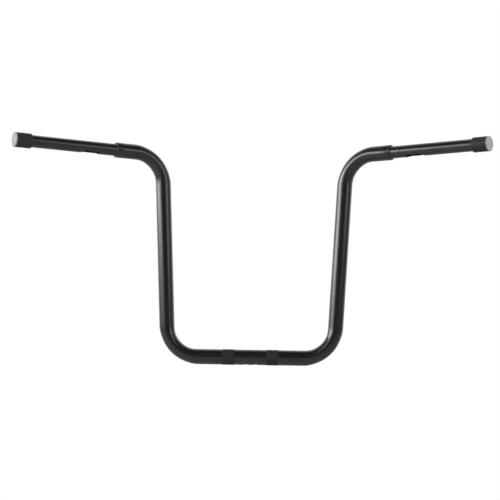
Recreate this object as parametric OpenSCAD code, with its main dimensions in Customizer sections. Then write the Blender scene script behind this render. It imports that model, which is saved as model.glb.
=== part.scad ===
// Ape hanger handlebar: a bent main tube with stepped-down grip tubes.
// Millimetres. The origin is the centre of the clamped base, X runs along the base,
// Z points up the risers and the rider sits on the -Y side.

/* [Main tube] */
// Outside diameter of the main tube
main_tube_od = 31.75; // [28.6:0.05:38.1]
// Straight half length of the base, from the centre to the first bend
base_half = 109.5; // [95:0.5:160]
// Centre-line radius of every bend
bend_radius = 67; // [55:1:90]
// Straight length of each upright between its two bends
upright_len = 298.5; // [80:0.5:420]
// Outward lean of each upright from the vertical, in degrees
upright_lean = 2.9; // [0:0.1:12]
// Angle by which each grip sweeps back to the rider, in degrees
pullback = 30.5; // [10:0.5:45]
// Angle by which each grip climbs towards its end, in degrees
grip_rise = 0; // [-10:0.5:10]
// Straight length of main tube after the second bend
arm_len = 41.5; // [36:0.5:80]

/* [Riser clamp bands] */
// Distance between the centres of the two knurled bands
band_spacing = 92; // [70:1:120]
// Width of each knurled band
band_width = 24; // [18:1:32]
// Height by which the knurl stands over the tube
band_height = 0.3; // [0.1:0.05:0.5]

/* [Wiring holes] */
// Diameter of the wiring holes under the base
wire_hole_d = 12; // [8:0.5:16]
// Distance between the centres of the wiring holes
wire_hole_spacing = 20; // [18:1:36]

/* [Grip tubes] */
// Outside diameter of the grip tubes
grip_tube_od = 25.4; // [22.2:0.1:26]
// Wall of the grip tubes
grip_tube_wall = 2.4; // [1.6:0.1:3.2]
// Length from the shoulder to the outer face of the end plug
grip_len = 224.5; // [190:0.5:300]
// Length of grip tube that sits inside the main tube
spigot_len = 32; // [20:1:35]
// Clearance all round between the grip tube and the main tube's bore
spigot_gap = 0.15; // [0.05:0.05:0.3]
// Size of the weld bead that closes the step
weld_size = 3.6; // [3:0.1:4.5]

/* [Grip wiring slots] */
// Distance from the shoulder to the near end of the slot
slot_start = 36.5; // [20:0.5:60]
// Length of the slot, round ends included
slot_len = 43; // [25:0.5:70]
// Width of the slot
slot_width = 16; // [8:0.5:17]

/* [End caps] */
// Outside diameter of the end sleeve and the plug's flange
cap_od = 30.5; // [29:0.1:36]
// Length of the end sleeve
sleeve_len = 33; // [20:0.5:45]
// Chamfer on the inner edge of the end sleeve
sleeve_chamfer = 1; // [0.4:0.1:1.5]
// Clearance all round between the sleeve and the grip tube
sleeve_gap = 0.1; // [0.05:0.05:0.3]
// Thickness of the plug's flange
flange_t = 3; // [2:0.1:5]
// Rounding on the outer edge of the plug's flange
flange_round = 0.8; // [0.3:0.1:1.2]
// Depth to which the plug reaches into the grip tube
plug_depth = 18; // [10:1:26]
// Wall of the plug's hollow body
plug_wall = 2; // [1.2:0.1:3]
// Clearance all round between the plug and the grip tube's bore
plug_gap = 0.15; // [0.05:0.05:0.3]

/* [Hidden] */
$fn = 96;
LEFT = -1;
RIGHT = 1;
// Length by which a cut runs past the face that it opens
past = 1;
// Length and height of the discs that lap over the joints between bends and straights
joint_len = 2;
joint_lap = 0.1;
main_bore = grip_tube_od + 2 * spigot_gap;
band_od = main_tube_od + 2 * band_height;
grip_bore = grip_tube_od - 2 * grip_tube_wall;
sleeve_bore = grip_tube_od + 2 * sleeve_gap;
plug_od = grip_bore - 2 * plug_gap;

// Directions and corner points of the centre line's right half
along_base = [1, 0, 0];
up_the_riser = [sin(upright_lean), 0, cos(upright_lean)];
along_grip = [cos(grip_rise) * cos(pullback), -cos(grip_rise) * sin(pullback), sin(grip_rise)];
base_end = base_half * along_base;
upright_foot = bend_end(base_end, along_base, up_the_riser);
upright_top = upright_foot + upright_len * up_the_riser;
arm_start = bend_end(upright_top, up_the_riser, along_grip);
shoulder = arm_start + arm_len * along_grip;

// The direction from a bend's start towards its centre
function inward(from, to) = let (v = to - (to * from) * from) v / norm(v);

// Where the centre line leaves a bend that turns it from one direction to another
function bend_end(start, from, to) =
    start + bend_radius * ((1 - from * to) * inward(from, to) + norm(cross(from, to)) * from);

// One side of the bar: the left is the right in a mirror
module on_side(side) {
    if (side == LEFT) mirror([1, 0, 0]) children();
    else children();
}

// Children drawn along Z run out along the grip from the shoulder, with X pointing down
module at_shoulder() {
    translate(shoulder) rotate([0, 90 - grip_rise, -pullback]) children();
}

module straight(start, direction, length, d) {
    translate(start)
        rotate([0, acos(direction[2]), atan2(direction[1], direction[0])])
            cylinder(h = length, d = d);
}

// A bend swept round its centre, with a short disc at each end that laps over the joint with
// the straight, so that the two are one solid
module bend(start, from, to, d) {
    outward = -inward(from, to);
    axis = cross(outward, from);
    centre = start - bend_radius * outward;
    turn = acos(from * to);
    multmatrix([for (i = [0:2]) [outward[i], from[i], axis[i], centre[i]]]) {
        rotate_extrude(angle = turn) translate([bend_radius, 0]) circle(d = d);
        for (a = [0, turn]) rotate([0, 0, a]) translate([bend_radius, 0, 0]) rotate([90, 0, 0])
            cylinder(h = joint_len, d = d + 2 * joint_lap, center = true);
    }
}

// The whole centre line as a solid rod, run past the arms' ends by a given length
module rod(d, overrun = 0) {
    translate(-base_end) rotate([0, 90, 0]) cylinder(h = 2 * base_half, d = d);
    for (side = [LEFT, RIGHT]) on_side(side) {
        bend(base_end, along_base, up_the_riser, d);
        straight(upright_foot, up_the_riser, upright_len, d);
        bend(upright_top, up_the_riser, along_grip, d);
        straight(arm_start, along_grip, arm_len + overrun, d);
    }
}

// The rolled bands that give the riser clamps their bite
module clamp_band() {
    rotate([0, 90, 0]) cylinder(h = band_width, d = band_od, center = true);
}

module main_tube() {
    color("#1d1e20") difference() {
        union() {
            rod(main_tube_od);
            for (side = [LEFT, RIGHT]) translate([side * band_spacing / 2, 0, 0]) clamp_band();
        }
        rod(main_bore, past);
        for (side = [LEFT, RIGHT]) translate([side * wire_hole_spacing / 2, 0, -main_tube_od])
            cylinder(h = main_tube_od, d = wire_hole_d);
    }
}

// A slot with round ends through the underside of a grip tube
module wiring_slot() {
    rotate([0, 90, 0]) {
        for (z = [slot_start + slot_width / 2, slot_start + slot_len - slot_width / 2])
            translate([-z, 0, 0]) cylinder(h = grip_tube_od, d = slot_width);
        translate([-(slot_start + slot_len / 2), 0, grip_tube_od / 2])
            cube([slot_len - slot_width, slot_width, grip_tube_od], center = true);
    }
}

module grip_tube(side) {
    tube_len = spigot_len + grip_len - flange_t;
    color("#1d1e20") on_side(side) at_shoulder() difference() {
        translate([0, 0, -spigot_len]) cylinder(h = tube_len, d = grip_tube_od);
        translate([0, 0, -spigot_len - past]) cylinder(h = tube_len + 2 * past, d = grip_bore);
        wiring_slot();
    }
}

// A quarter-round bead in the corner between the main tube's end and the grip tube
module weld_bead(side) {
    color("#2a2b2d") on_side(side) at_shoulder() rotate_extrude() intersection() {
        translate([grip_tube_od / 2, 0]) circle(r = weld_size);
        translate([grip_tube_od / 2, 0]) square(2 * weld_size);
    }
}

// The black sleeve over the last stretch of a grip tube
module end_sleeve(side) {
    r = cap_od / 2;
    color("#26272a") on_side(side) at_shoulder() translate([0, 0, grip_len - flange_t - sleeve_len])
        rotate_extrude() polygon([
            [sleeve_bore / 2, 0],
            [r - sleeve_chamfer, 0],
            [r, sleeve_chamfer],
            [r, sleeve_len],
            [sleeve_bore / 2, sleeve_len]
        ]);
}

// The pale plug: a flange that covers the tube's end and a hollow body inside its bore
module end_plug(side) {
    r = cap_od / 2;
    color("#c9cacb") on_side(side) at_shoulder() translate([0, 0, grip_len - flange_t]) {
        rotate_extrude() {
            square([r - flange_round, flange_t]);
            square([r, flange_t - flange_round]);
            translate([r - flange_round, flange_t - flange_round]) circle(r = flange_round);
        }
        translate([0, 0, -plug_depth]) difference() {
            cylinder(h = plug_depth, d = plug_od);
            translate([0, 0, -past]) cylinder(h = plug_depth + past, d = plug_od - 2 * plug_wall);
        }
    }
}

main_tube();
grip_tube(LEFT);  // left_grip_tube
grip_tube(RIGHT);  // right_grip_tube
weld_bead(LEFT);  // left_weld_bead
weld_bead(RIGHT);  // right_weld_bead
end_sleeve(LEFT);  // left_end_sleeve
end_sleeve(RIGHT);  // right_end_sleeve
end_plug(LEFT);  // left_end_plug
end_plug(RIGHT);  // right_end_plug
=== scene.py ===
"""Dresses the ape hanger handlebar: a powder-coated bent tube with knurled clamp bands, welded-in
grip tubes, black end sleeves and pale end plugs, in a plain white studio."""

import bpy
import numpy as np
from mathutils import Matrix


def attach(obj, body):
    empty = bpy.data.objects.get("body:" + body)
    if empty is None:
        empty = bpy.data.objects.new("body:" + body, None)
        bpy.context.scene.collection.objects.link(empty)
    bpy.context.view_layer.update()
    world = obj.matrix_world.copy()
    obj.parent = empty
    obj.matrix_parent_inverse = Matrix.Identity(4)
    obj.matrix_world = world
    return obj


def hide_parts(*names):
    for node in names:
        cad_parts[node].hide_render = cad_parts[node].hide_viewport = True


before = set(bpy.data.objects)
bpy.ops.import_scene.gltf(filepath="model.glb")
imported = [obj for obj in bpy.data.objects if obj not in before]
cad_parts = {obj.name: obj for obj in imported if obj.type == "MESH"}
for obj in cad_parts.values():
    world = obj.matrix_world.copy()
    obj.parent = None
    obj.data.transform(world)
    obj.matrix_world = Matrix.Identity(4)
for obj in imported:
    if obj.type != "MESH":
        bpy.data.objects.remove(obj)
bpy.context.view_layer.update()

MM = 0.001
LEFT = -1
RIGHT = 1
SIDE_NAMES = {LEFT: "left", RIGHT: "right"}

# Centre line of the main tube, in millimetres and degrees
MAIN_OD = 31.75
MAIN_BORE = 25.7
BASE_HALF = 109.5
BEND_RADIUS = 67.0
UPRIGHT_LEN = 298.5
UPRIGHT_LEAN = 2.9
PULLBACK = 30.5
ARM_LEN = 41.5

# How much the tube is narrowed in the plane of a bend and widened across it, as shares of its size
BEND_FLATTENING = 0.07
BEND_WIDENING = 0.02
# Arc over which the flattening builds up from either end of a bend
FLATTENING_RAMP = 28.0

# Clamp bands and their knurl
BAND_SPACING = 92.0
BAND_WIDTH = 24.0
BAND_HEIGHT = 0.3
KNURL_DEPTH = 0.26
KNURL_ROWS = 60
# How steeply the sides of a diamond rise to its flat top
KNURL_SLOPE = 1.6
# Distance over which the knurl runs out at a band's edge, and depth of the band's inner wall
KNURL_RUN_OUT = 0.8
BAND_SINK = 0.6

# Wiring holes, and the turn in radians that keeps the cutter's corners off the tube's edges
WIRE_HOLE_D = 12.0
WIRE_HOLE_SPACING = 20.0
CUTTER_TURN = 0.02

# Grip tubes and slots
GRIP_OD = 25.4
GRIP_BORE = 20.6
GRIP_LEN = 224.5
SPIGOT_LEN = 32.0
SLOT_START = 36.5
SLOT_LEN = 43.0
SLOT_WIDTH = 16.0

# Weld beads, with the heights of their ripples and of their slow waves as shares of their size
WELD_SIZE = 3.6
WELD_RIPPLES = 34
RIPPLE_HEIGHT = 0.1
RIPPLE_LEAST = 0.15
RIPPLE_LEAN = 0.35
WELD_WAVES = 5
WAVE_HEIGHT = 0.02
WELD_SINK = 0.2

# End sleeves: bore, the two roundings of the mouth's chamfer and the rounding of the outer end
CAP_OD = 30.5
SLEEVE_LEN = 33.0
SLEEVE_BORE = 25.6
MOUTH_R = 0.5
MOUTH_SET_IN = 1.3
CHAMFER_R = 0.7
CHAMFER_LEN = 1.25
SLEEVE_EDGE_R = 0.35
SLEEVE_EDGE_LEN = 0.5

# End plugs: flange, hollow body with a tapered tip, rim round the dish and mark of the gate
FLANGE_T = 3.0
FLANGE_BACK_R = 0.4
FLANGE_FACE_R = 0.8
PLUG_OD = 20.3
PLUG_WALL = 2.0
PLUG_DEPTH = 18.0
TIP_INSET = 0.6
TIP_LEN = 0.8
RIM_WIDTH = 2.6
RIM_SLOPE = 0.6
RIM_EASE = 0.05
DISH_DEPTH = 0.35
GATE_R = 1.4
GATE_EDGE = 0.2
GATE_SHOULDER = 0.1
GATE_HEIGHT = 0.15

# Fineness of the meshes
AROUND = 144
BASE_STEPS = 8
BEND_STEPS = 48
UPRIGHT_STEPS = 12
ARM_STEPS = 4
GRIP_RINGS = 32
KNURL_RINGS = 84
COLUMNS_PER_DIAMOND = 6
COLUMNS_PER_RIPPLE = 10
WELD_RINGS = 14
HOLE_CORNERS = 64
SLOT_END_CORNERS = 33
# Points on the arcs of a profile: an eighth of a turn, a quarter, and the plug's outer rim
EIGHTH_POINTS = 4
QUARTER_POINTS = 5
RIM_POINTS = 8

# Softened edges of the tubes and their openings: width, segments, and the angle in degrees past
# which an edge counts as sharp
DRILLED_EDGE = 0.35
EDGE_SEGMENTS = 2
SHARP_EDGE = 50

LEAN, SWEEP = np.radians([UPRIGHT_LEAN, PULLBACK])
ALONG_BASE = np.array([1.0, 0.0, 0.0])
UP_THE_RISER = np.array([np.sin(LEAN), 0.0, np.cos(LEAN)])
ALONG_GRIP = np.array([np.cos(SWEEP), -np.sin(SWEEP), 0.0])
DOWN = np.array([0.0, 0.0, -1.0])


# Centre line

def turned(vectors, axis, angles):
    """Each vector turned about the axis by its own angle.

    It is the vector times the cosine, plus the cross product of axis and vector times the sine,
    plus the vector's part along the axis times what the cosine lacks of one.
    """
    c, s = np.cos(angles)[:, None], np.sin(angles)[:, None]
    along = (vectors @ axis)[:, None] * axis
    return vectors * c + np.cross(axis, vectors) * s + along * (1 - c)


class Path:
    """Stations along the tube: point, direction, a side vector carried along without twist, the
    inward direction of the bend at each station and how far its flattening has built up."""

    def __init__(self):
        self.at = np.zeros(3)
        self.direction = ALONG_BASE
        self.side = -DOWN
        self.rows = [np.hstack([self.at, self.direction, self.side, self.side, 0.0])]

    def add(self, points, directions, sides, inward, flattening):
        """Puts new stations on the end of the path."""
        self.rows.append(np.hstack([points, directions, sides, inward, flattening[:, None]]))
        self.at, self.direction, self.side = points[-1], directions[-1], sides[-1]

    def straight(self, length, count):
        """Points at even steps along the present direction."""
        steps = np.linspace(0, length, count)[1:]
        still = np.ones((len(steps), 1))
        self.add(self.at + steps[:, None] * self.direction, still * self.direction,
                 still * self.side, still * self.side, 0 * steps)

    def bend(self, to, radius, count):
        """Points on the arc of the given radius that turns the present direction to the new one.

        The flattening builds up from each end of the arc as the ramp 3t^2 - 2t^3.
        """
        axis = np.cross(self.direction, to)
        turn = np.arccos(self.direction @ to)
        axis = axis / np.linalg.norm(axis)
        outward = -np.cross(axis, self.direction)
        centre = self.at - radius * outward
        angles = np.linspace(0, turn, count)[1:]
        still = np.ones((len(angles), 1))
        spokes = turned(still * outward, axis, angles)
        ramp = np.clip(np.minimum(angles, turn - angles) * radius / FLATTENING_RAMP, 0, 1)
        self.add(centre + radius * spokes, turned(still * self.direction, axis, angles),
                 turned(still * self.side, axis, angles), -spokes, ramp * ramp * (3 - 2 * ramp))

    def stations(self):
        """One row a station: its four vectors, in the order above, and its flattening."""
        return np.vstack(self.rows)


def half_bar():
    """The right half of the centre line, from the middle of the base to the shoulder."""
    path = Path()
    path.straight(BASE_HALF, BASE_STEPS)
    path.bend(UP_THE_RISER, BEND_RADIUS, BEND_STEPS)
    path.straight(UPRIGHT_LEN, UPRIGHT_STEPS)
    path.bend(ALONG_GRIP, BEND_RADIUS, BEND_STEPS)
    path.straight(ARM_LEN, ARM_STEPS)
    return path.stations()


RIGHT_HALF = half_bar()
SHOULDER = RIGHT_HALF[-1, :3]


def whole_bar():
    """The right half with its mirror image before it, as one run from the left shoulder to the
    right. The X of each point, side and inward vector changes sign, and so do the Y and Z of each
    direction, because the run goes the other way there."""
    left = RIGHT_HALF[:0:-1].copy()
    for column in (0, 6, 9):
        left[:, column] *= -1
    left[:, 4:6] *= -1
    return np.vstack([left, RIGHT_HALF])


# Meshes

def shade_smooth(mesh):
    """Shades every face of a mesh smooth."""
    mesh.polygons.foreach_set("use_smooth", np.ones(len(mesh.polygons), bool))


def new_mesh(name, vertices, faces):
    """A smooth-shaded object from vertices in millimetres and a list of faces."""
    mesh = bpy.data.meshes.new(name)
    mesh.from_pydata((np.asarray(vertices) * MM).tolist(), [], faces)
    shade_smooth(mesh)
    piece = bpy.data.objects.new(name, mesh)
    bpy.context.collection.objects.link(piece)
    return piece


def round_angles(count):
    """Angles at even steps round a full turn."""
    return np.linspace(0, 2 * np.pi, count, endpoint=False)


def neighbours(count):
    """The places round a ring, each with the place after it."""
    j = np.arange(count)
    return j, (j + 1) % count


def grid_faces(rows, columns, wrap_rows=False, flip=False):
    """Quads of a grid whose columns close on themselves, and whose rows do too if asked."""
    r = np.arange(rows if wrap_rows else rows - 1)
    i, j = np.meshgrid(r, np.arange(columns), indexing="ij")
    i2, j2 = (i + 1) % rows, (j + 1) % columns
    corners = [i * columns + j, i * columns + j2, i2 * columns + j2, i2 * columns + j]
    quads = np.stack(corners, -1).reshape(-1, 4)
    return quads[:, ::-1] if flip else quads


def prism_faces(count):
    """The sides and the two ends of a prism whose outlines have the given number of corners."""
    ends = [list(range(count))[::-1], list(range(count, 2 * count))]
    return grid_faces(2, count).tolist() + ends


def at_shoulder(side, local):
    """Local millimetres, with Z out along the grip and X down, to the frame of the bar."""
    mirror = np.array([side, 1.0, 1.0])
    out = ALONG_GRIP * mirror
    return SHOULDER * mirror + local @ np.stack([DOWN, np.cross(out, DOWN), out])


def lathe(profile):
    """Each point of a profile, a radius and a distance along the grip, carried round the axis as a
    circle of that radius at that distance."""
    angle = round_angles(AROUND)
    r, z = profile[:, :1], profile[:, 1:]
    return np.stack([r * np.cos(angle), r * np.sin(angle), z + 0 * angle], -1).reshape(-1, 3)


def revolved_ring(name, side, profile):
    """A closed profile that stays clear of the axis, turned into a closed ring."""
    faces = grid_faces(len(profile), AROUND, wrap_rows=True).tolist()
    return new_mesh(name, at_shoulder(side, lathe(profile)), faces)


def revolved_solid(name, side, profile):
    """A profile that starts and ends on the axis, turned into a closed solid with a fan at each
    end."""
    local = lathe(profile[1:-1])
    poles = np.array([[0, 0, profile[0, 1]], [0, 0, profile[-1, 1]]])
    j, j2 = neighbours(AROUND)
    first, last = len(local), len(local) - AROUND
    fans = np.vstack([np.stack([first + 0 * j, j2, j], -1),
                      np.stack([first + 1 + 0 * j, last + j, last + j2], -1)])
    faces = grid_faces(len(profile) - 2, AROUND).tolist() + fans.tolist()
    return new_mesh(name, at_shoulder(side, np.vstack([local, poles])), faces)


def arc(centre, radius, start, end, count):
    """Points of a profile at even steps round a circle, between two angles in degrees."""
    a = np.radians(np.linspace(start, end, count))
    return np.array(centre) + radius * np.stack([np.cos(a), np.sin(a)], -1)


def cut(piece, cutters):
    """Cuts closed shapes out of a piece, then softens its sharp edges."""
    for cutter in cutters:
        boolean = piece.modifiers.new("cut", "BOOLEAN")
        boolean.object = cutter
        boolean.operation = "DIFFERENCE"
        boolean.solver = "EXACT"
    bevel = piece.modifiers.new("edge", "BEVEL")
    bevel.width = DRILLED_EDGE * MM
    bevel.segments = EDGE_SEGMENTS
    bevel.limit_method = "ANGLE"
    bevel.angle_limit = np.radians(SHARP_EDGE)
    depsgraph = bpy.context.evaluated_depsgraph_get()
    done = bpy.data.meshes.new_from_object(piece.evaluated_get(depsgraph))
    piece.modifiers.clear()
    piece.data = done
    shade_smooth(done)
    for cutter in cutters:
        bpy.data.objects.remove(cutter)


# Pieces of the bar

def swept_tube(stations, outer, inner):
    """Vertices of an outer and an inner wall carried along the centre line.

    Each wall is a circle of its radius about every station. In a bend the circle is squeezed along
    the bend's inward direction by the flattening and stretched a little across it.
    """
    angle = round_angles(AROUND)
    point, direction, side, inward = (stations[:, k:k + 3] for k in (0, 3, 6, 9))
    across = np.cross(direction, side)
    ring = np.cos(angle)[:, None] * side[:, None] + np.sin(angle)[:, None] * across[:, None]
    amount = stations[:, 12][:, None, None]
    cross = np.cross(direction, inward)[:, None]
    squeeze = (ring * inward[:, None]).sum(-1, keepdims=True) * inward[:, None]
    stretch = (ring * cross).sum(-1, keepdims=True) * cross
    ring = ring - BEND_FLATTENING * amount * squeeze + BEND_WIDENING * amount * stretch
    return [(point[:, None] + radius * ring).reshape(-1, 3) for radius in (outer, inner)]


def main_tube():
    """The whole bent tube with its bore, closed at both ends, with the wiring holes drilled."""
    stations = whole_bar()
    rows = len(stations)
    walls = swept_tube(stations, MAIN_OD / 2, MAIN_BORE / 2)
    faces = [grid_faces(rows, AROUND), grid_faces(rows, AROUND, flip=True) + rows * AROUND]
    j, j2 = neighbours(AROUND)
    for row, flip in ((0, True), (rows - 1, False)):
        a, b = row * AROUND, (rows + row) * AROUND
        ring = np.stack([a + j, a + j2, b + j2, b + j], -1)
        faces.append(ring[:, ::-1] if flip else ring)
    piece = new_mesh("main_tube_coated", np.vstack(walls), np.vstack(faces).tolist())
    cut(piece, [wire_hole_cutter(side) for side in (LEFT, RIGHT)])
    return piece


def wire_hole_cutter(side):
    """A round bar that passes up through the underside of the base into the bore."""
    angle = round_angles(HOLE_CORNERS) + CUTTER_TURN
    x = side * WIRE_HOLE_SPACING / 2 + WIRE_HOLE_D / 2 * np.cos(angle)
    y = WIRE_HOLE_D / 2 * np.sin(angle)
    rings = [np.stack([x, y, 0 * x + level], -1) for level in (-MAIN_OD, -WIRE_HOLE_D / 4)]
    return new_mesh("wire_hole_cutter", np.vstack(rings), prism_faces(len(angle)))


def knurled_band(side):
    """A rolled diamond knurl: two families of crossed helical grooves on a ring round the base.

    The height is the lesser of two triangle waves, one for each family of helices, so that it
    peaks in the middle of each diamond; it runs out to the tube's surface at the band's edges.
    """
    columns, rows = KNURL_ROWS * COLUMNS_PER_DIAMOND, KNURL_RINGS
    along = np.linspace(-BAND_WIDTH / 2, BAND_WIDTH / 2, rows)
    a, x = np.meshgrid(round_angles(columns), along)
    pitch = np.pi * MAIN_OD / KNURL_ROWS
    turns = [a * KNURL_ROWS / (2 * np.pi) + way * x / pitch for way in (1, -1)]
    waves = [1 - np.abs((turn % 1) - 0.5) * 2 for turn in turns]
    grooves = np.minimum(1, KNURL_SLOPE * np.minimum(*waves))
    edge = np.clip((BAND_WIDTH / 2 - np.abs(x)) / KNURL_RUN_OUT, 0, 1)
    top = MAIN_OD / 2 + edge * (BAND_HEIGHT - KNURL_DEPTH * (1 - grooves))
    sunk = MAIN_OD / 2 - BAND_SINK
    place = side * BAND_SPACING / 2 + x
    outer = np.stack([place, top * np.sin(a), top * np.cos(a)], -1)
    first, last = (np.stack([place[k], sunk * np.sin(a[k]), sunk * np.cos(a[k])], -1)[None]
                   for k in (0, -1))
    points = np.vstack([first, outer, last]).reshape(-1, 3)
    faces = grid_faces(rows + 2, columns, wrap_rows=True, flip=True).tolist()
    return new_mesh(SIDE_NAMES[side] + "_knurled_band", points, faces)


def weld_bead(side):
    """A fillet weld laid in overlapping ripples: a quarter circle whose radius swells and sinks as
    it goes round the grip tube.

    Round the tube each ripple is a half circle, 2 sqrt(t - t^2) for t from 0 to 1. Across the bead
    it grows and shrinks as a sine, which also shifts t, so that the ripple leans over like a fish
    scale. A slow sine makes the bead a little uneven.
    """
    around = WELD_RIPPLES * COLUMNS_PER_RIPPLE
    angle = round_angles(around)
    a, s = np.meshgrid(angle, np.linspace(0, np.pi / 2, WELD_RINGS))
    phase = (a * WELD_RIPPLES / (2 * np.pi) + RIPPLE_LEAN * np.sin(2 * s)) % 1
    ripple = np.sqrt(np.clip(4 * phase * (1 - phase), 0, 1))
    swell = RIPPLE_HEIGHT * ripple * np.sin(2 * s).clip(RIPPLE_LEAST)
    size = WELD_SIZE * (1 - RIPPLE_HEIGHT + swell + WAVE_HEIGHT * np.sin(WELD_WAVES * a))
    r = GRIP_OD / 2 + size * np.cos(s)
    z = size * np.sin(s)
    bead = np.stack([r * np.cos(a), r * np.sin(a), z], -1)
    sunk = GRIP_OD / 2 - WELD_SINK
    tip, back = (np.stack([sunk * np.cos(angle), sunk * np.sin(angle), height], -1)[None]
                 for height in (z[-1], 0 * angle))
    points = np.vstack([bead, tip, back]).reshape(-1, 3)
    faces = grid_faces(WELD_RINGS + 2, around, wrap_rows=True).tolist()
    return new_mesh(SIDE_NAMES[side] + "_weld_ripples", at_shoulder(side, points), faces)


def grip_tube(side):
    """A plain tube from inside the main tube to the plug's flange, with a slot milled under it."""
    outer, inner = GRIP_OD / 2, GRIP_BORE / 2
    marks = np.linspace(-SPIGOT_LEN, GRIP_LEN - FLANGE_T, GRIP_RINGS)[:, None]
    profile = np.vstack([np.hstack([outer + 0 * marks, marks]),
                         np.hstack([inner + 0 * marks, marks[::-1]])])
    piece = revolved_ring(SIDE_NAMES[side] + "_grip_tube_coated", side, profile)
    cut(piece, [slot_cutter(side)])
    return piece


def slot_cutter(side):
    """A block with round ends that passes up through the underside of the grip tube."""
    half = SLOT_WIDTH / 2
    near, far = SLOT_START + half, SLOT_START + SLOT_LEN - half
    turn = np.linspace(0, np.pi, SLOT_END_CORNERS)
    y = np.concatenate([half * np.cos(turn), -half * np.cos(turn)])
    z = np.concatenate([far + half * np.sin(turn), near - half * np.sin(turn)])
    local = np.vstack([np.stack([0 * y + x, y, z], -1) for x in (GRIP_BORE / 4, GRIP_OD)])
    return new_mesh("slot_cutter", at_shoulder(side, local), prism_faces(len(y)))


def end_sleeve(side):
    """A moulded sleeve with a chamfered mouth, whose edges are arcs, and a rounded outer edge."""
    r, inner = CAP_OD / 2, SLEEVE_BORE / 2
    stop = GRIP_LEN - FLANGE_T
    start = stop - SLEEVE_LEN
    edge = (r - SLEEVE_EDGE_R, stop - SLEEVE_EDGE_R)
    profile = np.vstack([
        (inner, start),
        arc((r - MOUTH_SET_IN, start + MOUTH_R), MOUTH_R, -90, -45, EIGHTH_POINTS),
        arc((r - CHAMFER_R, start + CHAMFER_LEN), CHAMFER_R, -45, 0, EIGHTH_POINTS),
        (r, start + SLEEVE_LEN / 2),
        (r, stop - SLEEVE_EDGE_LEN),
        arc(edge, SLEEVE_EDGE_R, 0, 90, QUARTER_POINTS),
        (inner, stop),
    ])
    return revolved_ring(SIDE_NAMES[side] + "_end_sleeve_moulded", side, profile)


def end_plug(side):
    """A flange with a rounded rim round a shallow dish and a hollow body inside the bore.

    The small raised disc in the middle of the dish is the mark of the moulding gate.
    """
    r, face = CAP_OD / 2, GRIP_LEN
    back = face - FLANGE_T
    body, bore = PLUG_OD / 2, PLUG_OD / 2 - PLUG_WALL
    deep = back - PLUG_DEPTH
    rim, dish = r - RIM_WIDTH, face - DISH_DEPTH
    hollow = [(0.0, back), (bore, back), (bore, deep), (body - TIP_INSET, deep),
              (body, deep + TIP_LEN), (body, back)]
    dished = [(rim, face), (rim - RIM_SLOPE / 4, face - RIM_EASE),
              (rim - RIM_SLOPE * 3 / 4, dish + RIM_EASE), (rim - RIM_SLOPE, dish), (r / 2, dish)]
    gate = [(GATE_R + GATE_EDGE, dish), (GATE_R, dish + GATE_SHOULDER),
            (GATE_R - GATE_EDGE, dish + GATE_HEIGHT), (0.0, dish + GATE_HEIGHT)]
    back_edge, face_edge = back + FLANGE_BACK_R, face - FLANGE_FACE_R
    profile = np.vstack([
        hollow,
        arc((r - FLANGE_BACK_R, back_edge), FLANGE_BACK_R, -90, 0, QUARTER_POINTS),
        arc((r - FLANGE_FACE_R, face_edge), FLANGE_FACE_R, 0, 90, RIM_POINTS),
        dished,
        gate,
    ])
    return revolved_solid(SIDE_NAMES[side] + "_end_plug_moulded", side, profile)


# Materials

def linear(hex_colour):
    """An sRGB hex colour as linear red, green, blue and alpha."""
    c = np.array([int(hex_colour[k:k + 2], 16) for k in (1, 3, 5)]) / 255
    c = np.where(c <= 0.04045, c / 12.92, ((c + 0.055) / 1.055) ** 2.4)
    return (*c.tolist(), 1.0)


def add_node(tree, kind, settings=None, links=None):
    """Adds a node, sets its properties or input values, and links its inputs.

    An input goes by its name, or by its number where the node has several of one name.
    """
    node = tree.nodes.new(kind)
    for name, value in (settings or {}).items():
        if isinstance(name, int) or name in node.inputs:
            node.inputs[name].default_value = value
        else:
            setattr(node, name, value)
    for name, source in (links or {}).items():
        tree.links.new(source, node.inputs[name])
    return node


def new_material(name):
    """An empty material, its node tree and the object's own coordinates."""
    material = bpy.data.materials.new(name)
    material.use_nodes = True
    material.node_tree.nodes.clear()
    place = add_node(material.node_tree, "ShaderNodeTexCoord").outputs["Object"]
    return material, material.node_tree, place


# Numbers of the two colours among the inputs, and of the colour among the outputs, when colours
# are mixed
FIRST_COLOUR, SECOND_COLOUR, MIXED_COLOUR = 6, 7, 2


def skin(tree, pattern, colours, roughness, normal, settings):
    """The finished surface: its colour and its roughness run from the first to the second of two
    values as the pattern runs from 0 to 1."""
    colour = add_node(tree, "ShaderNodeMix", {
        "data_type": "RGBA", FIRST_COLOUR: linear(colours[0]), SECOND_COLOUR: linear(colours[1]),
    }, {"Factor": pattern.outputs["Fac"]})
    rough = add_node(tree, "ShaderNodeMapRange", {
        "To Min": roughness[0], "To Max": roughness[1]}, {"Value": pattern.outputs["Fac"]})
    shader = add_node(tree, "ShaderNodeBsdfPrincipled", settings, {
        "Base Color": colour.outputs[MIXED_COLOUR], "Roughness": rough.outputs["Result"],
        "Normal": normal.outputs["Normal"]})
    add_node(tree, "ShaderNodeOutputMaterial", {}, {"Surface": shader.outputs["BSDF"]})


# Sizes in millimetres of what shows in each finish
ORANGE_PEEL = 2.2
DUST_NIB = 0.6
GLOSS_CLOUD = 45
KNURL_GRAIN = 0.9
VINYL_GRAIN = 0.8
VINYL_CLOUD = 14
FLOW_MARK = 6
POLYTHENE_GRAIN = 0.7


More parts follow.
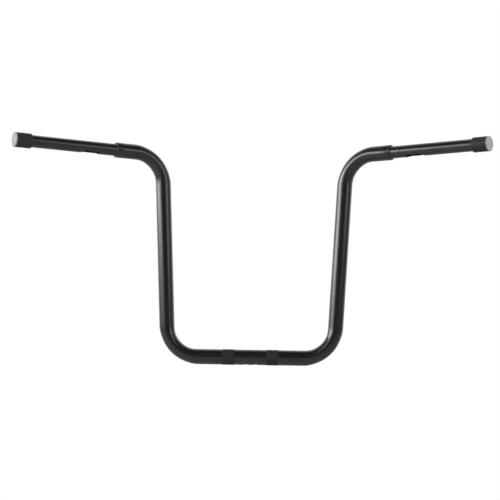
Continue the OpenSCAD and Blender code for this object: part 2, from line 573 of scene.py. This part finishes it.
def powder_coat():
    """Black satin polyester powder coat on steel: a dark dielectric skin, sprayed as powder and
    baked.

    The melt leaves a faint orange peel about 2 mm across, and the satin gloss varies softly over
    the tube. Fine dust nibs lift single points; they are drawn coarse enough to show.
    """
    material, tree, place = new_material("black satin powder coat")
    peel = add_node(tree, "ShaderNodeTexNoise", {
        "Scale": 1 / (ORANGE_PEEL * MM), "Detail": 1.5}, {"Vector": place})
    nibs = add_node(tree, "ShaderNodeTexNoise", {
        "Scale": 1 / (DUST_NIB * MM), "Detail": 0.0}, {"Vector": place})
    cloud = add_node(tree, "ShaderNodeTexNoise", {
        "Scale": 1 / (GLOSS_CLOUD * MM), "Detail": 3.0}, {"Vector": place})
    nib_relief = add_node(tree, "ShaderNodeBump", {
        "Strength": 0.04, "Distance": 0.01 * MM}, {"Height": nibs.outputs["Fac"]})
    relief = add_node(tree, "ShaderNodeBump", {"Strength": 0.07, "Distance": 0.03 * MM}, {
        "Height": peel.outputs["Fac"], "Normal": nib_relief.outputs["Normal"]})
    skin(tree, cloud, ("#080b0c", "#0f1415"), (0.32, 0.4), relief,
         {"IOR": 1.5, "Coat Weight": 1.0, "Coat IOR": 1.55, "Coat Roughness": 0.24})
    return material


def knurl_coat():
    """The same coat over the rolled knurl: it lies thin on the peaks and looks drier and paler."""
    material, tree, place = new_material("powder coat over knurl")
    grain = add_node(tree, "ShaderNodeTexNoise", {
        "Scale": 1 / (KNURL_GRAIN * MM), "Detail": 3.0}, {"Vector": place})
    relief = add_node(tree, "ShaderNodeBump", {
        "Strength": 0.4, "Distance": 0.08 * MM}, {"Height": grain.outputs["Fac"]})
    skin(tree, grain, ("#1a1d1e", "#313536"), (0.42, 0.6), relief, {"IOR": 1.5})
    return material


def sleeve_vinyl():
    """Dip-moulded soft vinyl: a dull black skin with soft clouds and a fine leathery grain, which
    is drawn coarse enough to show."""
    material, tree, place = new_material("black moulded vinyl")
    grain = add_node(tree, "ShaderNodeTexNoise", {
        "Scale": 1 / (VINYL_GRAIN * MM), "Detail": 2.0}, {"Vector": place})
    cloud = add_node(tree, "ShaderNodeTexNoise", {
        "Scale": 1 / (VINYL_CLOUD * MM), "Detail": 2.0}, {"Vector": place})
    relief = add_node(tree, "ShaderNodeBump", {
        "Strength": 0.3, "Distance": 0.06 * MM}, {"Height": grain.outputs["Fac"]})
    skin(tree, cloud, ("#212625", "#2e3433"), (0.52, 0.64), relief, {"IOR": 1.53})
    return material


def plug_polythene():
    """Natural grey polythene, injection moulded: waxy, pale and faintly mottled by flow marks, with
    a mould's fine grain, drawn coarse enough to show."""
    material, tree, place = new_material("pale grey polythene")
    mottle = add_node(tree, "ShaderNodeTexNoise", {
        "Scale": 1 / (FLOW_MARK * MM), "Detail": 3.0, "Distortion": 1.2}, {"Vector": place})
    grain = add_node(tree, "ShaderNodeTexNoise", {
        "Scale": 1 / (POLYTHENE_GRAIN * MM), "Detail": 2.0}, {"Vector": place})
    relief = add_node(tree, "ShaderNodeBump", {
        "Strength": 0.2, "Distance": 0.06 * MM}, {"Height": grain.outputs["Fac"]})
    skin(tree, mottle, ("#a3a6a7", "#b7babb"), (0.38, 0.55), relief,
         {"IOR": 1.51, "Subsurface Weight": 0.08, "Subsurface Scale": 1.0 * MM})
    return material


# Studio

FLOOR_Z = -450.0
FLOOR_RADIUS = 3000.0
FLOOR_FORWARD = 600.0
FLOOR_CORNERS = 96
# Share of the floor's radius at which it starts to fade
FADE_START = 0.7
# Glow that the floor adds to the camera and to gloss
FLOOR_GLOW = 0.6
FLOOR_GLOSS = 0.03


def studio_floor():
    """A pale round floor under the bar that fades into the white room at its edge.

    To the camera it glows a little, so that it comes out near white and still shows the bar's
    shadow, and from below it is clear.
    """
    angle = round_angles(FLOOR_CORNERS)
    rim = np.stack([FLOOR_RADIUS * np.cos(angle), FLOOR_RADIUS * np.sin(angle) - FLOOR_FORWARD,
                    0 * angle + FLOOR_Z], -1)
    floor = new_mesh("studio_floor", rim, [list(range(len(angle)))])
    material, tree, place = new_material("pale studio floor")
    light = add_node(tree, "ShaderNodeLightPath").outputs
    seen = add_node(tree, "ShaderNodeMath", {"operation": "MAXIMUM"}, {
        0: light["Is Camera Ray"], 1: light["Is Transmission Ray"]})
    to_camera = add_node(tree, "ShaderNodeMapRange", {"To Max": FLOOR_GLOW}, {
        "Value": seen.outputs[0]})
    to_gloss = add_node(tree, "ShaderNodeMapRange", {"To Max": FLOOR_GLOSS}, {
        "Value": light["Is Glossy Ray"]})
    strength = add_node(tree, "ShaderNodeMath", {"operation": "MAXIMUM"}, {
        0: to_camera.outputs["Result"], 1: to_gloss.outputs["Result"]})
    paint = add_node(tree, "ShaderNodeBsdfDiffuse", {"Color": linear("#a8a8a8")})
    glow = add_node(tree, "ShaderNodeEmission", {"Color": linear("#ffffff")}, {
        "Strength": strength.outputs[0]})
    pale = add_node(tree, "ShaderNodeAddShader", {}, {0: paint.outputs[0], 1: glow.outputs[0]})
    clear = add_node(tree, "ShaderNodeBsdfTransparent")
    from_middle = add_node(tree, "ShaderNodeVectorMath", {
        "operation": "ADD", 1: (0.0, FLOOR_FORWARD * MM, -FLOOR_Z * MM)}, {0: place})
    reach = add_node(tree, "ShaderNodeVectorMath", {"operation": "LENGTH"}, {
        0: from_middle.outputs[0]})
    fade = add_node(tree, "ShaderNodeMapRange", {
        "From Min": FADE_START * FLOOR_RADIUS * MM, "From Max": FLOOR_RADIUS * MM,
    }, {"Value": reach.outputs["Value"]})
    under = add_node(tree, "ShaderNodeNewGeometry").outputs["Backfacing"]
    hidden = add_node(tree, "ShaderNodeMath", {"operation": "MAXIMUM"}, {
        0: fade.outputs["Result"], 1: under})
    mix = add_node(tree, "ShaderNodeMixShader", {}, {
        0: hidden.outputs[0], 1: pale.outputs[0], 2: clear.outputs[0]})
    add_node(tree, "ShaderNodeOutputMaterial", {}, {"Surface": mix.outputs[0]})
    floor.data.materials.append(material)


# Brightness of the room as it lights the bar, at its left and right ends, and as the bar's gloss
# shows it: in front, behind and low down
ROOM_LEFT = 0.12
ROOM_RIGHT = 0.95
ROOM_GLOSS = 0.03
ROOM_BEHIND = 0.8
ROOM_LOW = 0.18
# The parts of a direction's Y and Z over which the gloss changes from one to the other
BEHIND_START, BEHIND_END = 0.0, 0.6
LOW_START, LOW_END = -0.06, 0.14


def white_room():
    """A room that is white to the camera. It lights the bar more from the right, to balance the
    large softbox on the left. Gloss shows it white behind the bar and dim in front."""
    world = bpy.data.worlds.new("white room")
    bpy.context.scene.world = world
    world.use_nodes = True
    tree = world.node_tree
    tree.nodes.clear()
    light = add_node(tree, "ShaderNodeLightPath").outputs
    where = add_node(tree, "ShaderNodeTexCoord").outputs["Generated"]
    split = add_node(tree, "ShaderNodeSeparateXYZ", {}, {"Vector": where}).outputs
    fill = add_node(tree, "ShaderNodeMapRange", {
        "From Min": -1.0, "To Min": ROOM_LEFT, "To Max": ROOM_RIGHT}, {"Value": split["X"]})
    behind = add_node(tree, "ShaderNodeMapRange", {
        "From Min": BEHIND_START, "From Max": BEHIND_END, "To Min": ROOM_GLOSS,
        "To Max": ROOM_BEHIND, "interpolation_type": "SMOOTHSTEP"}, {"Value": split["Y"]})
    low = add_node(tree, "ShaderNodeMapRange", {
        "From Min": LOW_START, "From Max": LOW_END, "To Min": ROOM_LOW,
        "To Max": ROOM_GLOSS, "interpolation_type": "SMOOTHSTEP"}, {"Value": split["Z"]})
    gloss = add_node(tree, "ShaderNodeMath", {"operation": "MAXIMUM"}, {
        0: behind.outputs["Result"], 1: low.outputs["Result"]})
    reflected = add_node(tree, "ShaderNodeMix", {}, {
        "Factor": light["Is Glossy Ray"], "A": fill.outputs["Result"], "B": gloss.outputs[0]})
    seen = add_node(tree, "ShaderNodeMath", {"operation": "MAXIMUM"}, {
        0: light["Is Camera Ray"], 1: light["Is Transmission Ray"]})
    strength = add_node(tree, "ShaderNodeMix", {"B": 1.0}, {
        "Factor": seen.outputs[0], "A": reflected.outputs[0]})
    back = add_node(tree, "ShaderNodeBackground", {"Color": linear("#ffffff")}, {
        "Strength": strength.outputs[0]})
    add_node(tree, "ShaderNodeOutputWorld", {}, {"Surface": back.outputs[0]})


# Each lamp's place, the point that it faces, its width and height, and its radiance
LAMPS = {
    "left softbox": ((-2640, -620, 960), (0, 0, 300), (2200, 860), 7.8),
    "left front panel": ((-1934, -1868, 560), (0, 0, 300), (760, 470), 4),
    "right softbox": ((1600, -1100, 860), (0, 0, 300), (1100, 850), 1.6),
    "high left lamp": ((-1120, -1870, 1416), (0, 0, 0), (600, 600), 3),
    "high right lamp": ((1120, -1870, 1416), (0, 0, 0), (600, 600), 1.0),
}


def softbox(name, place, aim, size, radiance):
    """An area lamp at a place, aimed at a point. Its power is pi times its area times its radiance.

    The lamp shines along its -Z axis and its Y axis stands upright.
    """
    data = bpy.data.lights.new(name, "AREA")
    data.shape = "RECTANGLE"
    data.size, data.size_y = size[0] * MM, size[1] * MM
    data.energy = np.pi * data.size * data.size_y * radiance
    lamp = bpy.data.objects.new(name, data)
    bpy.context.collection.objects.link(lamp)
    forward = np.subtract(aim, place) / np.linalg.norm(np.subtract(aim, place))
    right = np.cross(forward, -DOWN)
    right /= np.linalg.norm(right)
    set_matrix(lamp, place, np.stack([right, np.cross(right, forward), -forward], 1))


def set_matrix(thing, place, axes):
    """Sets an object's place, in millimetres, and its axes as columns."""
    rows = np.vstack([np.column_stack([axes, np.asarray(place) * MM]), [0, 0, 0, 1]])
    thing.matrix_world = Matrix(rows.tolist())


# The camera looks slightly up at the bar from the rider's side, as in the photograph
CAMERA_DISTANCE = 3300.0
FOCAL_PX = 1583.3
PICTURE_PX = 500
SENSOR_MM = 36.0
CAMERA_YAW = -3.29
CAMERA_PITCH = -6.44
CAMERA_ROLL = 1.1
CAMERA_SHIFT_X = 1.0
CAMERA_SHIFT_Z = -223.8
CAMERA_REACH_M = 50


def camera():
    """A camera on the line found by fitting the bar's centre line to the photograph.

    The bar seen from the camera is turned by yaw about Z, then pitch about X, then roll about Y,
    and moved by the shift. The camera stands at the distance in front of that and looks along +Y.
    """
    y, p, r = np.radians([CAMERA_YAW, CAMERA_PITCH, CAMERA_ROLL])
    yaw = np.array([[np.cos(y), -np.sin(y), 0], [np.sin(y), np.cos(y), 0], [0, 0, 1]])
    pitch = np.array([[1, 0, 0], [0, np.cos(p), -np.sin(p)], [0, np.sin(p), np.cos(p)]])
    roll = np.array([[np.cos(r), 0, np.sin(r)], [0, 1, 0], [-np.sin(r), 0, np.cos(r)]])
    turn = roll @ pitch @ yaw
    place = turn.T @ np.array([-CAMERA_SHIFT_X, -CAMERA_DISTANCE, -CAMERA_SHIFT_Z])
    data = bpy.data.cameras.new("camera")
    data.sensor_width = SENSOR_MM
    data.lens = SENSOR_MM * FOCAL_PX / PICTURE_PX
    data.clip_end = CAMERA_REACH_M
    view = bpy.data.objects.new("camera", data)
    bpy.context.collection.objects.link(view)
    right, forward, up = turn
    set_matrix(view, place, np.stack([right, up, -forward], 1))
    bpy.context.scene.camera = view


# Building the scene

def dress(piece, material, slot, *nodes):
    """Gives a piece its material and says which CAD nodes it stands for. The slot is not used."""
    piece.data.materials.clear()
    piece.data.materials.append(material)
    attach(piece, "root")
    if nodes:
        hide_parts(*nodes)


camera()
coat = powder_coat()
band_coat = knurl_coat()
vinyl = sleeve_vinyl()
polythene = plug_polythene()

dress(main_tube(), coat, "black_coat", "main_tube")
for side in (LEFT, RIGHT):
    name = SIDE_NAMES[side]
    dress(knurled_band(side), band_coat, "black_coat")
    dress(weld_bead(side), coat, "weld_coat", name + "_weld_bead")
    dress(grip_tube(side), coat, "black_coat", name + "_grip_tube")
    dress(end_sleeve(side), vinyl, "black_sleeve", name + "_end_sleeve")
    dress(end_plug(side), polythene, "pale_plug", name + "_end_plug")

studio_floor()
white_room()
for lamp_name, settings in LAMPS.items():
    softbox(lamp_name, *settings)

bpy.context.scene.view_settings.view_transform = "Standard"
